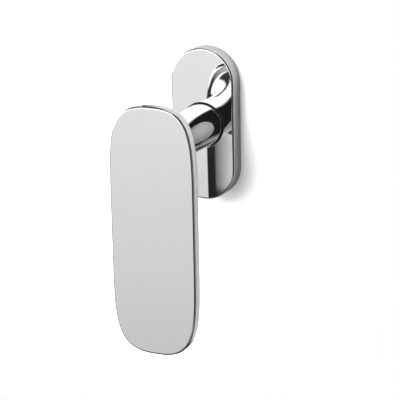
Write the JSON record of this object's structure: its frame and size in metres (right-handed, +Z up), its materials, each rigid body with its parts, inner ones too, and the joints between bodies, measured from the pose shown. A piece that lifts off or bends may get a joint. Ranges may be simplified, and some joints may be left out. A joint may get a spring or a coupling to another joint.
{
  "type": "window handle",
  "caption": "Tilt-and-turn window handle with a flat rounded hanging grip, round neck, slim rosette, detent mechanism and square spindle.",
  "frame": {"origin": "centre of the rosette's back, on the spindle's axis, in the plane of the sash face", "axes": "+Z up along the rosette, +X to the right seen from the room, +Y into the sash along the spindle; the grip stands out towards -Y and hangs towards -Z"},
  "size_m": [0.0402, 0.0987, 0.1267],
  "materials": {
    "polished_chrome": "bright polished chrome plate",
    "cast_zinc": "dull die-cast zinc",
    "steel": "bright zinc-plated steel",
    "spring_steel": "oiled spring steel",
    "nylon": "black moulded nylon"
  },
  "bodies": {
    "base": {"base_plate": "cast_zinc", "neck_bush": "nylon", "retainer_plate": "steel", "retainer_rivet_upper_left": "steel", "retainer_rivet_upper_right": "steel", "retainer_rivet_lower_left": "steel", "retainer_rivet_lower_right": "steel", "fixing_screw_upper": "steel", "fixing_screw_lower": "steel", "detent_spring_upper": "spring_steel", "detent_spring_lower": "spring_steel", "cover_clip_upper": "spring_steel", "cover_clip_lower": "spring_steel"},
    "lever": {"handle_lever": "polished_chrome", "spindle": "steel", "spindle_pin": "steel", "detent_disc": "steel", "thrust_washer": "steel", "retaining_ring": "spring_steel"},
    "cover": {"rosette_cover": "polished_chrome", "guide_ring": "nylon"},
    "ball_upper": {"detent_ball_upper": "steel"},
    "ball_lower": {"detent_ball_lower": "steel"}
  },
  "joints": [
    {"name": "handle_turn", "type": "hinge", "parent": "base", "child": "lever", "pos_m": [0, 0, 0], "axis": [0, 1, 0], "range_deg": [0, 180]},
    {"name": "cover_lift", "type": "slide", "parent": "base", "child": "cover", "axis": [0, -1, 0], "range_m": [0, 0.0085]},
    {"name": "detent_upper", "type": "slide", "parent": "base", "child": "ball_upper", "axis": [0, 0, 1], "range_m": [-0.0009, 0], "stiffness_N_per_m": 1200, "springref_m": -0.003, "deforming": ["detent_spring_upper"]},
    {"name": "detent_lower", "type": "slide", "parent": "base", "child": "ball_lower", "axis": [0, 0, -1], "range_m": [-0.0009, 0], "stiffness_N_per_m": 1200, "springref_m": -0.003, "deforming": ["detent_spring_lower"]}
  ]
}
